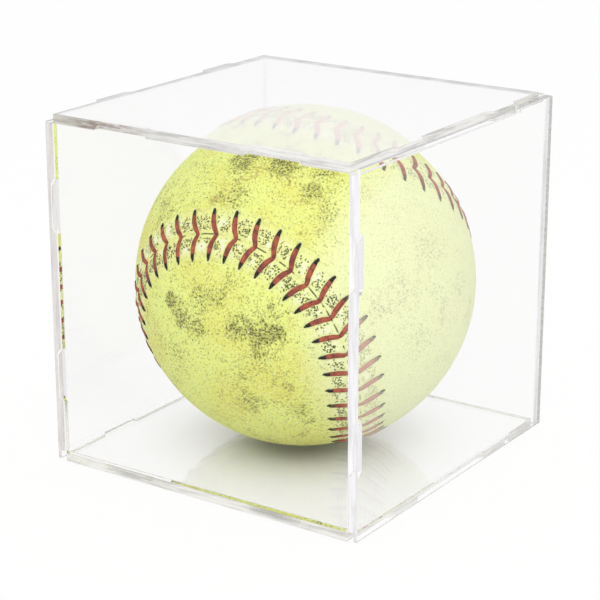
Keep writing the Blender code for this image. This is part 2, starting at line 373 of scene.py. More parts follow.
    def end(
        self, name: str, waves: Triple, shades: tuple[Colour, Colour], darkened_shade: Pair,
        reflected_stitches: float, clear: float,
    ) -> Material:
        """The sawn and buffed ends, milky and streaked along the way of the saw.

        Those that face upwards are darker, as painted shade, and so is the left half, most at the
        far left, as painted shade where less light falls. Near the far left, some also have brownish
        spots, which are painted reflections of the stitches.

        Args:
            name: The material's name.
            waves: The streaks in a metre along each axis.
            shades: The colours of the dark and the light streaks.
            darkened_shade: How much of the painted shade of the left half shows, low down and high
                up.
            reflected_stitches: How strongly the brownish spots show, which are painted reflections
                of the stitches.
            clear: How much light passes it.

        Returns:
            The material.
        """
        graph = Graph(name)
        place = graph.place()
        streak = graph.noise(graph.vector("MULTIPLY", place, waves), 1.0, 3.0, 0.6)
        side, _, level = graph.parts(place)
        # painted shade: the left half is darker, and the far left more, by as much as shows at this
        # level
        high = graph.span(level, *self.high, *darkened_shade)
        middle = graph.times(graph.span(side, *self.middle, 1.0, 0.0), high)
        left = graph.times(graph.span(side, *self.left, 1.0, 0.0), high)
        # painted shade: ends that face upwards are darker
        rise = graph.parts(graph.add("NewGeometry").outputs["Normal"])[2]
        colour = graph.mix(shades[0], (graph.span(streak, *self.streaks), shades[1]))
        upper = graph.span(rise, *self.upwards)
        shading = (middle, self.middle_shade), (left, self.left_shade), (upper, self.upper_shade)
        colour = graph.mix(colour, *shading, blend="MULTIPLY")
        # painted reflection: brownish spots near the far left, the stitches seen through the end
        reflected_stitch = graph.noise(graph.vector("MULTIPLY", place, self.reflected_stitch_waves), 1.0, detail=3.0)
        zone = graph.times(left, graph.span(side, *self.reflected_stitches))
        reflected_stitch = graph.times(graph.span(reflected_stitch, *self.reflected_stitch_levels, 0.0, reflected_stitches), zone)
        return self.shader(graph, {
            "Base Color": graph.mix(colour, (reflected_stitch, self.stitch_reflection)), "Roughness": self.end_roughness,
            "Transmission Weight": clear, "Normal": graph.bump(streak, self.streak_depth),
        })


def past_post(graph: Graph, start: float, end: float) -> Socket:
    """A step on the ball, from left of the near post to right of it as the photo shows them."""
    # painted light: right of the near post the ball is painted lighter
    away = graph.vector("DOT_PRODUCT", graph.place(), POST_WAY)
    return graph.span(away, *POST_STEP, start, end)


@dataclass(frozen=True)
class Leather:
    """Optic yellow leather, pebbled, with grime in its pores and in the pockets by the stitches.

    Places across the seam are in millimetres, and those along it in stitches. A scuff has its
    middle and its reach in millimetres, and how dark it is.
    """

    clean: Colour = (0.88, 0.97, 0.24)
    warm: Colour = (0.86, 0.85, 0.16)
    stained: Colour = (0.60, 0.58, 0.11)
    creased: Colour = (0.44, 0.32, 0.07)
    fleck: Colour = (0.33, 0.33, 0.04)
    # painted highlight: the paler colour of the pebbles' tops
    top: Colour = (0.93, 0.99, 0.40)
    pale: Colour = (0.92, 0.97, 0.44)
    # painted highlight: the whitish puffs in the pockets between legs
    puff_highlight_colour: Colour = (0.95, 0.98, 0.62)
    # painted light: the paler leather towards +X, which lies in more light
    painted_light_leather: Colour = (0.94, 0.995, 0.57)
    grime: Colour = (0.040, 0.055, 0.010)
    # painted shade: the near-black of the holes at the legs' ends
    hole_shade: Colour = (0.015, 0.02, 0.006)
    cloud_size: float = 0.018
    wear_size: float = 0.010
    crease_size: float = 0.016
    tuft_size: float = 0.0018
    patch_size: float = 0.0028
    pebble_size: float = 0.0008
    mottle_size: float = 0.00062
    pore_size: float = 0.00056
    speck_size: float = 0.0005
    pebble_depth: float = 0.00012
    roughness: float = 0.55
    pitch: float = 5.96
    hole_place: float = 6.9
    hole_length: float = 0.8
    # painted light: where the leather turns paler along X
    painted_light_from: Pair = (0.023, 0.035)
    scuffs: tuple[tuple[float, ...], ...] = (
        (-11.6, -46.7, 55.5, 4.6, 1.0), (-8.0, -47.5, 52.0, 6.8, 0.7),
        (-2.0, -48.1, 50.0, 8.2, 0.55), (20.5, -43.8, 51.1, 5.0, 1.0),
        (16.1, -45.5, 51.1, 7.5, 0.8), (10.9, -47.0, 51.6, 6.5, 0.68),
        (17.3, -44.9, 46.0, 8.5, 0.5), (10.5, -41.2, 28.4, 9.0, 0.48),
        (10.6, -45.0, 37.2, 4.5, 0.6), (22.8, -34.8, 26.6, 8.0, 0.48),
        (20.9, -25.9, 86.2, 5.8, 0.66), (25.9, -26.0, 82.6, 6.6, 0.42),
        (1.7, -35.2, 84.3, 8.5, 0.52), (-24.2, -33.0, 76.9, 7.0, 0.45),
        (-1.5, -25.9, 91.9, 8.5, 0.78), (10.5, -24.0, 91.8, 8.5, 0.8),
        (20.5, -19.5, 90.4, 7.0, 0.6), (-11.4, -46.0, 40.0, 10.0, 0.38),
        (-1.1, -47.9, 58.5, 10.0, 0.45), (43.1, -19.6, 60.9, 11.0, 0.45),
        (44.4, -6.5, 69.1, 11.0, 0.45), (46.2, -14.1, 45.0, 12.0, 0.42),
        (47.0, 4.0, 56.0, 10.0, 0.4),
    )

    def wear(self, graph: Graph) -> Socket:
        """How grimy each place is, from 0 to 1: drifting clouds, and the scuffs over them.

        Args:
            graph: The tree to build in.

        Returns:
            The grime's density.
        """
        place = graph.place()
        worn = graph.noise(place, self.wear_size, detail=4.0, roughness=0.65)
        worn = graph.span(worn, 0.44, 0.74, 0.05, 0.48)
        ragged = graph.bent(place, 260.0, 0.009, 3.0, 0.5)
        for *middle, reach, dark in self.scuffs:
            away = graph.vector("DISTANCE", ragged, tuple(part / 1000 for part in middle))
            scuff = graph.span(away, 0.0, reach / 1000 * 1.15, dark, 0.0)
            worn = graph.math("MAXIMUM", worn, scuff)
        return worn

    def pores(self, graph: Graph, density: Socket) -> Socket:
        """Grimy pores: a dot in each cell of a pattern, drawn where the cell's lot is low enough.

        Args:
            graph: The tree to build in.
            density: The share of the cells that have a dot.

        Returns:
            1 in the dots, 0 between them.
        """
        size = self.pore_size
        cell = graph.cells(graph.bent(graph.place(), 0.8 / size, size * 1.2), size)
        lot = graph.out("SeparateColor", cell["Color"])
        drawn = graph.span(graph.math("SUBTRACT", density, lot), -0.04, 0.06)
        return graph.times(drawn, graph.span(cell["Distance"], 0.36, 0.62, 1.0, 0.0))

    def stitch_marks(self, graph: Graph) -> tuple[Socket, Socket, Socket, Socket]:
        """What the lacing does to the leather round it.

        Args:
            graph: The tree to build in.

        Returns:
            The grime in the pockets between legs, the holes at their ends in painted shade, the
            clean leather round both, and the whitish puffs in the pockets, which are painted
            highlights.
        """
        along, across, _ = graph.parts(graph.out("UVMap", uv_map="stitching"))
        wave = graph.math("FRACT", graph.math("ADD", along, 0.5))
        beside = graph.math("ABSOLUTE", graph.math("SUBTRACT", wave, 0.5))
        across = graph.math("ABSOLUTE", across)
        band = graph.times(graph.span(across, 0.7, 1.6), graph.span(across, 3.6, 6.2, 1.0, 0.0))
        pocket = graph.times(graph.span(beside, 0.12, 0.26), band)
        patch = graph.noise(graph.place(), self.patch_size)
        # painted highlight: whitish puffs in some pockets
        puff_highlight = graph.times(pocket, graph.span(patch, 0.46, 0.38))
        pocket = graph.times(pocket, graph.span(patch, 0.42, 0.50, 0.12, 1.2))
        pocket = graph.times(self.pores(graph, pocket), 0.95)
        crack = graph.span(across, 0.10, 0.32, 0.9, 0.0)
        crack = graph.times(crack, graph.span(patch, 0.48, 0.54))
        pocket = graph.math("MAXIMUM", pocket, crack)
        # painted shade: a dark spot at each leg's end, where the hole is
        long = graph.math("SUBTRACT", across, self.hole_place)
        long = graph.math("DIVIDE", long, self.hole_length)
        wide = graph.times(beside, self.pitch / 0.5)
        squares = graph.math("MULTIPLY_ADD", wide, wide, graph.times(long, long))
        tip = graph.math("SQRT", squares)
        hole = graph.span(tip, 0.7, 1.0, 1.0, 0.0)
        halo = graph.span(tip, 0.9, 2.4, 0.55, 0.0)
        near = graph.span(across, 5.0, 8.5, 0.5, 0.0)
        return pocket, hole, graph.math("MAXIMUM", near, halo), puff_highlight

    def material(self) -> Material:
        """Build the finish.

        Returns:
            Its material.
        """
        graph = Graph("optic_leather")
        place = graph.place()
        clouds = graph.noise(place, self.cloud_size, detail=3.0)
        pocket, hole, clean, puff_highlight = self.stitch_marks(graph)
        worn = graph.times(self.wear(graph), graph.math("SUBTRACT", 1.0, clean))
        crease = graph.noise(place, self.crease_size, detail=3.0, distortion=1.2)
        crease = graph.math("ABSOLUTE", graph.math("SUBTRACT", crease, 0.5))
        crease = graph.span(crease, 0.001, 0.011, 0.65, 0.0)
        crease = graph.times(crease, graph.span(clouds, 0.46, 0.58))

        speck = graph.noise(place, self.speck_size, roughness=0.7)
        mottle = graph.noise(place, self.mottle_size, detail=3.0, roughness=0.8)
        level = graph.span(worn, 0.0, 0.7, 0.44, 0.53)
        flecks = graph.math("DIVIDE", graph.math("SUBTRACT", level, mottle), 0.07)
        flecks = graph.math("MAXIMUM", graph.math("MINIMUM", flecks, 1.0), 0.0)
        tuft = graph.span(graph.noise(place, self.tuft_size), 0.36, 0.60, 0.65, 1.3)
        dots = graph.times(graph.span(worn, 0.1, 0.95, 0.02, 0.95), tuft)
        dots = self.pores(graph, dots)
        dots = graph.times(dots, graph.span(worn, 0.1, 0.6, 0.6, 1.0))

        # painted light: paler towards +X, where the flecks, dots and creases show less
        painted_light = graph.span(graph.parts(place)[0], *self.painted_light_from, 0.0, 0.82)
        shown = graph.math("MULTIPLY_ADD", painted_light, -0.62, 0.85)
        crease = graph.times(crease, graph.math("SUBTRACT", 1.0, painted_light))
        colour = graph.mix(
            self.clean, (graph.span(clouds, 0.38, 0.66), self.warm),
            (graph.span(worn, 0.2, 0.9, 0.0, 0.85), self.stained),
            # painted highlight: the pebbles' tops are paler where the bump's noise is high
            (graph.span(speck, 0.50, 0.62, 0.0, 0.75), self.top),
            (painted_light, self.painted_light_leather), (crease, self.creased),
            (graph.times(flecks, shown), self.fleck), (clean, self.pale), (puff_highlight, self.puff_highlight_colour),
            (graph.times(dots, shown), self.grime),
            (graph.times(pocket, past_post(graph, 1.0, 0.5)), self.grime), (hole, self.hole_shade),
        )
        bent = graph.bent(place, 600.0, 0.0006)
        pebble = graph.cells(bent, self.pebble_size, "DISTANCE_TO_EDGE")["Distance"]
        groove = graph.span(pebble, 0.02, 0.22, -0.7, 0.0)
        normal = graph.bump(graph.math("ADD", groove, speck), self.pebble_depth, 0.8)
        return graph.solid(colour, self.roughness, normal)


@dataclass(frozen=True)
class Thread:
    """Waxed brick-red thread, twisted, and near black where it dives into its hole, as painted
    shade. It is painted paler low down right of the near post and high up, as painted light.
    """

    red: Colour = (0.46, 0.105, 0.052)
    plum: Colour = (0.22, 0.048, 0.036)
    black: Colour = (0.010, 0.009, 0.004)
    brown: Colour = (0.12, 0.055, 0.008)
    olive: Colour = (0.10, 0.09, 0.02)
    # painted light: the paler thread low down right of the near post, its tips there, and the paler
    # thread high up
    painted_light_low: Colour = (0.62, 0.33, 0.25)
    painted_light_low_tip: Colour = (0.32, 0.26, 0.16)
    painted_light: Colour = (0.78, 0.34, 0.24)
    patch_size: float = 0.0018
    tip_from: Pair = (0.74, 0.78)
    painted_light_low_below: Pair = (0.058, 0.068)
    painted_light_above: Pair = (0.089, 0.093)
    olive_below: Pair = (0.022, 0.034)
    twists: float = 60.0
    twist_slant: float = 0.15
    twist_depth: float = 0.00003

    def material(self) -> Material:
        """Build the finish.

        Returns:
            Its material.
        """
        graph = Graph("waxed_thread")
        place = graph.place()
        along, round_it, _ = graph.parts(graph.out("UVMap", uv_map="lay"))
        height = graph.parts(place)[2]
        # painted light: paler low down right of the near post
        painted_light_low = graph.span(height, *self.painted_light_low_below, 1.0, 0.0)
        painted_light_low = graph.times(past_post(graph, 0.0, 0.75), painted_light_low)
        low = graph.span(height, *self.olive_below, 1.0, 0.0)
        # painted shade: the tips, where the thread dives into its hole, are near black; right of the
        # near post they are browner, as painted light, and lower down olive
        right = past_post(graph, 0.0, 1.0)
        tip_shade = graph.mix(self.black, (right, self.brown), (low, self.olive), (painted_light_low, self.painted_light_low_tip))
        patch = graph.span(graph.noise(place, self.patch_size), 0.35, 0.65)
        # painted light: paler high up
        colour = graph.mix(
            self.red, (patch, self.plum), (painted_light_low, self.painted_light_low),
            (graph.span(height, *self.painted_light_above, 0.0, 0.8), self.painted_light),
            (graph.span(along, *self.tip_from), tip_shade),
        )
        twist = graph.math("ADD", along, graph.times(round_it, self.twist_slant))
        twist = graph.math("SINE", graph.times(twist, self.twists))
        return graph.solid(colour, 0.7, graph.bump(twist, self.twist_depth), 0.2)


@dataclass(frozen=True)
class Fibre:
    """Pressed kapok of the core, tan and matted."""

    light: Colour = (0.62, 0.5, 0.34)
    dark: Colour = (0.42, 0.32, 0.2)
    tuft_size: float = 0.003
    tuft_depth: float = 0.0004

    def material(self) -> Material:
        """Build the finish.

        Returns:
            Its material.
        """
        graph = Graph("pressed_fibre")
        tufts = graph.noise(graph.place(), self.tuft_size, detail=4.0, distortion=2.0)
        colour = graph.mix(self.light, (tufts, self.dark))
        return graph.solid(colour, 0.9, graph.bump(tufts, self.tuft_depth))


def link(name: str, mesh: Mesh, body: Body | None) -> bpy.types.Object:
    """Put a finished mesh in the scene.

    Args:
        name: The piece's name.
        mesh: Its mesh, in the frame's coordinates.
        body: What it rides on, or None for a piece of the studio.

    Returns:
        The piece.
    """
    piece = bpy.data.objects.new(name, mesh)
    bpy.context.scene.collection.objects.link(piece)
    if body is not None:
        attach(piece, body.value)
    log.info("%s: %d faces", name, len(mesh.polygons))
    return piece


def read(items: Items, name: str, kind: type) -> Array:
    """Read one value of each item of a mesh.

    Args:
        items: The mesh's vertices, corners or the like.
        name: The value's name.
        kind: Its type.

    Returns:
        The values.
    """
    values = np.empty(len(items), kind)
    items.foreach_get(name, values)
    return values


def quads(rows: int, columns: int) -> Array:
    """The corners of a grid's quads, where its last column meets its first.

    Args:
        rows: How many rows of points it has.
        columns: How many points a row has.

    Returns:
        Four point numbers for each quad.
    """
    row, column = np.meshgrid(np.arange(rows - 1), np.arange(columns), indexing="ij")
    first, after = row * columns, (column + 1) % columns
    corners = [first + column, first + columns + column, first + columns + after, first + after]
    return np.stack(corners, -1).reshape(-1, 4)


def turn_outwards(mesh: Mesh, weld: float = 0.0) -> None:
    """Turn a mesh's faces outwards.

    Args:
        mesh: The mesh.
        weld: How near points are joined first, if any are.
    """
    work = bmesh.new()
    work.from_mesh(mesh)
    if weld:
        bmesh.ops.remove_doubles(work, verts=work.verts, dist=weld)
    bmesh.ops.recalc_face_normals(work, faces=work.faces)
    work.to_mesh(mesh)
    work.free()


@dataclass
class Sheet:
    """One acrylic sheet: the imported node's outline with eased edges and an air film round it."""

    node: str
    body: Body
    thin_axis: int
    finish: str = "face"
    ends: str = "upright"
    tongues: float = 0.0
    foot: float = 0.0
    slant: float = 0.0
    # whether the third slot holds ends painted darker, as painted shade
    shaded_ends: bool = False
    width: float = 0.0974
    film: float = 0.00002
    ease: float = 0.00013
    weld: float = 0.000001
    near_foot: float = 0.0001
    foot_middle: float = -0.0495
    outer: float = 0.0515
    wall_ends: Pair = (0.0005, 0.1005)
    same_plane: float = radians(0.5)
    sharp: float = radians(15)

    def part(self, above: bool) -> Mesh:
        """The node's mesh on one side of the foot's level, welded and closed.

        Args:
            above: Whether it is the sheet above the foot, and not the tabs below.

        Returns:
            The closed mesh.
        """
        work = bmesh.new()
        work.from_mesh(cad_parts[self.node].data)
        bmesh.ops.remove_doubles(work, verts=work.verts, dist=self.weld)
        if self.foot:
            level = self.foot + (self.film if above else -self.film)
            bmesh.ops.bisect_plane(
                work, geom=work.verts[:] + work.edges[:] + work.faces[:], plane_co=(0, 0, level),
                plane_no=(0, 0, 1), clear_inner=above, clear_outer=not above,
            )
            rim = [edge for edge in work.edges if edge.is_boundary]
            bmesh.ops.holes_fill(work, edges=rim, sides=0)
            bmesh.ops.recalc_face_normals(work, faces=work.faces)
        bmesh.ops.dissolve_limit(
            work, angle_limit=self.same_plane, verts=work.verts, edges=work.edges
        )
        if self.slant and above:
            for vert in work.verts:
                if vert.co.z < self.foot + self.near_foot and vert.co.y > self.foot_middle:
                    vert.co.z += self.slant * (0.5 + vert.co.x / self.width)
        mesh = bpy.data.meshes.new(self.node + "_part")
        work.to_mesh(mesh)
        work.free()
        return mesh

    def mesh(self) -> Mesh:
        """Copy the node's mesh, draw every face in by the air film and ease the edges.

        Returns:
            The sheet's mesh, with each face in the slot of its patch.
        """
        work = bmesh.new()
        for above in (True, False) if self.foot else (True,):
            work.from_mesh(self.part(above))
        if self.tongues:
            for side in (-1, 1):
                bmesh.ops.bisect_plane(
                    work, geom=work.verts[:] + work.edges[:] + work.faces[:],
                    plane_co=(side * self.tongues, 0, 0), plane_no=(side, 0, 0),
                )
        work.normal_update()
        for vert, shift in [(v, v.normal * v.calc_shell_factor()) for v in work.verts]:
            vert.co -= shift * self.film
        sharp = [edge for edge in work.edges if edge.calc_face_angle(0.0) > self.sharp]
        bmesh.ops.bevel(
            work, geom=sharp, offset=self.ease, segments=2, profile=0.5, affect="EDGES",
            clamp_overlap=True,
        )
        work.normal_update()
        for face in work.faces:
            face.material_index = self.patch(face)
        mesh = bpy.data.meshes.new(self.node + "_sheet")
        work.to_mesh(mesh)
        work.free()
        return mesh

    def patch(self, face: bmesh.types.BMFace) -> Patch:
        """Which of the sheet's finishes a face has.

        The front sheet's ends are polished and mirror the ball, but its tongues' fronts and its
        tabs aren't. The side walls' rebates and notches are polished too. The lid's left and rear
        ends and the side walls' rear ends are painted darkest, as painted shade.

        Args:
            face: A face of the sheet.

        Returns:
            The finish.
        """
        middle, way = face.calc_center_median(), face.normal
        broad = abs(way[self.thin_axis]) > 0.999
        if self.foot:
            if middle.z < self.foot:
                return Patch.SHADED_OR_TAB
            if abs(middle.x) > self.tongues:
                return Patch.TONGUE if way.y < -0.9 else Patch.FACE
            return Patch.FACE if broad or max(abs(way.x), abs(way.z)) > 0.95 else Patch.END
        if self.thin_axis == 0 and not broad:
            low, high = self.wall_ends
            if middle.y > self.outer:
                return Patch.SHADED_OR_TAB
            end = middle.z < low or middle.z > high or middle.y < -self.outer
            return Patch.END if end else Patch.FACE
        if self.shaded_ends and not broad and (way.x < -0.7 or way.y > 0.7):
            return Patch.SHADED_OR_TAB
        return Patch.FACE if broad else Patch.END

    def build(self, finishes: dict[str, Material]) -> None:
        """Build the sheet in the node's place.

        Args:
            finishes: The acrylic's materials by name.
        """
        mesh = self.mesh()
        for name in (self.finish, self.ends, "shaded_ends" if self.shaded_ends else "flat", "tongue"):
            mesh.materials.append(finishes[name])
        piece = link(self.node + "_sheet", mesh, self.body)
        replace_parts(piece, self.node)


@dataclass
class Case:
    """The two half shells."""

    acrylic: Acrylic = field(default_factory=Acrylic)
    foot: float = 0.0026
    slant: float = 0.0004
    tongues: float = 0.04885

    def sheets(self) -> list[Sheet]:
        """The six sheets, each with the axis that it is thin along."""
        front, rear, tongues = Body.FRONT_SHELL, Body.REAR_SHELL, self.tongues
        return [
            Sheet("bottom_panel", front, 2, "floor", "flat", tongues),
            Sheet("front_panel", front, 1, tongues=tongues, foot=self.foot, slant=self.slant),
            Sheet("top_panel", front, 2, ends="flat", tongues=tongues, shaded_ends=True),
            Sheet("left_panel", rear, 0, shaded_ends=True), Sheet("right_panel", rear, 0, shaded_ends=True),
            Sheet("rear_panel", rear, 1),
        ]

    def build(self) -> None:
        """Build every sheet."""
        clear, even = self.acrylic, (1.0, 1.0)
        level, upright = clear.level_waves, clear.upright_waves
        finishes = {
            "face": clear.face("acrylic_face", 0.0, clear.sheen),
            "floor": clear.face("acrylic_floor", clear.floor_roughness, clear.floor_sheen),
            # the lid's front end has painted reflections of the stitches at its left
            "flat": clear.end("acrylic_end_flat", level, clear.sawn, (0.0, 1.0), 0.75, 0.4),
            # painted shade: the lid's left and rear ends and the walls' rear ends are painted darker
            "shaded_ends": clear.end("acrylic_end_shaded", level, clear.darkened_shade, (0.0, 0.0), 0.0, 0.1),
            "upright": clear.end("acrylic_end_upright", upright, clear.buffed, even, 0.0, 0.4),
            "tongue": clear.end("acrylic_tongue", upright, clear.buffed, even, 0.0, 0.05),
        }
        for sheet in self.sheets():
            sheet.build(finishes)


def hump(place: Array, height: float, middle: float, width: float) -> Array:
    """A round hump: its height times e to minus the square of the widths from its middle."""
    return height * np.exp(-(((place - middle) / width) ** 2))


@dataclass
class Seam:
    """The seam as a curve on the ball, and the stitches along it.

    With t from 0 to 4 pi, the curve's angle from the pole is a quarter turn, less the cosine of
    t times what the neck leaves of it, plus a ripple at three times t. Its angle round the pole
    is half of t, plus a swing at twice t and a ripple at four times t.

    The humps of the leather's relief are in millimetres: height, middle and width.
    """

    radius: float = 0.0483
    neck: float = radians(23.93)
    swing: float = radians(21.61)
    neck_ripple: float = radians(0.98)
    swing_ripple: float = radians(0.19)
    stitches: int = 88
    phase: float = 0.27
    drift: float = 0.11
    drift_waves: int = 7
    drift_phase: float = 45.3
    reach: float = 0.00715
    samples: int = 8192
    batch: int = 2048
    sweeps: tuple[Pair, Pair] = ((0.33, 0.0026), (0.5, 0.0032))
    welt: Triple = (0.22, 2.4, 2.4)
    dip: Triple = (-0.08, 0.0, 0.6)
    bed: Triple = (-0.26, 0.0, 0.95)
    bed_edge: float = 0.3
    hole: float = 7.0
    hole_size: Pair = (0.9, 0.6)
    hole_depth: float = -0.45
    hole_rim: Pair = (0.10, 3.5)
    pucker: Triple = (0.05, 8.6, 1.2)

    def __post_init__(self) -> None:
        """Measure the curve once."""
        self.turns = np.linspace(0, 4 * pi, self.samples + 1)
        self.points = self.curve(self.turns)
        steps = np.linalg.norm(np.diff(self.points, axis=0), axis=1)
        self.lengths = np.concatenate([[0.0], np.cumsum(steps)])
        self.pitch = self.lengths[-1] * self.radius / self.stitches

    def curve(self, turn: Array) -> Array:
        """Points of the curve on a ball of radius 1.

        Args:
            turn: Values of t.

        Returns:
            One point for each.
        """
        tilt = pi / 2 - (pi / 2 - self.neck) * np.cos(turn) + self.neck_ripple * np.cos(3 * turn)
        swing = turn / 2 + self.swing * np.sin(2 * turn) + self.swing_ripple * np.sin(4 * turn)
        return np.stack(
            [np.sin(tilt) * np.cos(swing), np.sin(tilt) * np.sin(swing), np.cos(tilt)], -1
        )

    def at(self, stitch: Array) -> tuple[Array, Array]:
        """Points of the seam, and the directions across it.

        Args:
            stitch: How far along the seam, in even stitches.

        Returns:
            The points, and for each the direction across the seam.
        """
        shares = np.mod(stitch / self.stitches, 1.0)
        turn = np.interp(shares * self.lengths[-1], self.lengths, self.turns)
        place = self.curve(turn)
        along = self.curve(turn + self.turns[1]) - self.curve(turn - self.turns[1])
        along /= np.linalg.norm(along, axis=-1, keepdims=True)
        return place, np.cross(place, along)

    def sway(self, number: Array) -> Array:
        """How far the stitches drift to and fro along the seam: a cosine of their numbers."""
        wave = 2 * pi * self.drift_waves / self.stitches
        return self.drift * np.cos(wave * (number - self.drift_phase))

    def stitch_place(self, number: Array) -> Array:
        """Where these stitches meet the seam, in even stitches."""
        return number + self.phase + self.sway(number)

    def sweep(self, across: Array) -> Array:
        """How many stitches a leg trails: a full sweep, less what dies away outwards."""
        low, high = [full * (1 - np.exp(-np.abs(across) / reach)) for full, reach in self.sweeps]
        return np.where(across < 0, low, high)

    def coordinates(self, points: Array) -> tuple[Array, Array]:
        """The nearest place on the seam for each point of the ball.

        Args:
            points: Directions from the ball's centre.

        Returns:
            The stitch number on whose leg each point lies, where whole numbers are the legs'
            middles, and the signed distance from the seam.
        """
        curve = self.points[:-1].T.astype(np.float32)
        nearest = np.empty(len(points), int)
        for start in range(0, len(points), self.batch):
            part = points[start:start + self.batch].astype(np.float32)
            nearest[start:start + self.batch] = (part @ curve).argmax(1)
        even = self.lengths[nearest] / self.lengths[-1] * self.stitches
        _, side = self.at(even)
        across = self.radius * np.arcsin(np.clip((points * side).sum(1), -1, 1))
        number = even - self.phase
        for _ in range(3):
            number = even - self.phase - self.sway(number)
        return number + self.sweep(across), across

    def relief(self, number: Array, across: Array) -> Array:
        """How far the leather stands over the ball's radius.

        It swells into a welt on both sides of the seam, dips along the seam itself, dips under
        each leg, and has a pit at the end of each leg with a slight rim.

        Args:
            number: The stitch number, where whole numbers are the legs' middles.
            across: The signed distance from the seam.

        Returns:
            The height.
        """
        away = np.abs(across) * 1000
        beside = (np.mod(number + 0.5, 1.0) - 0.5) * self.pitch * 1000
        bed = hump(beside, *self.bed) / (1 + np.exp((away - self.hole) / self.bed_edge))
        end = ((away - self.hole) / self.hole_size[0]) ** 2 + (beside / self.hole_size[1]) ** 2
        rim, wider = self.hole_rim
        pit = self.hole_depth * np.exp(-end) + rim * np.exp(-end / wider)
        height, middle, width = self.pucker
        pucker = height * np.cos(2 * pi * number) * np.exp(-(((away - middle) / width) ** 2))
        return (hump(away, *self.welt) + hump(away, *self.dip) + bed + pit + pucker) / 1000


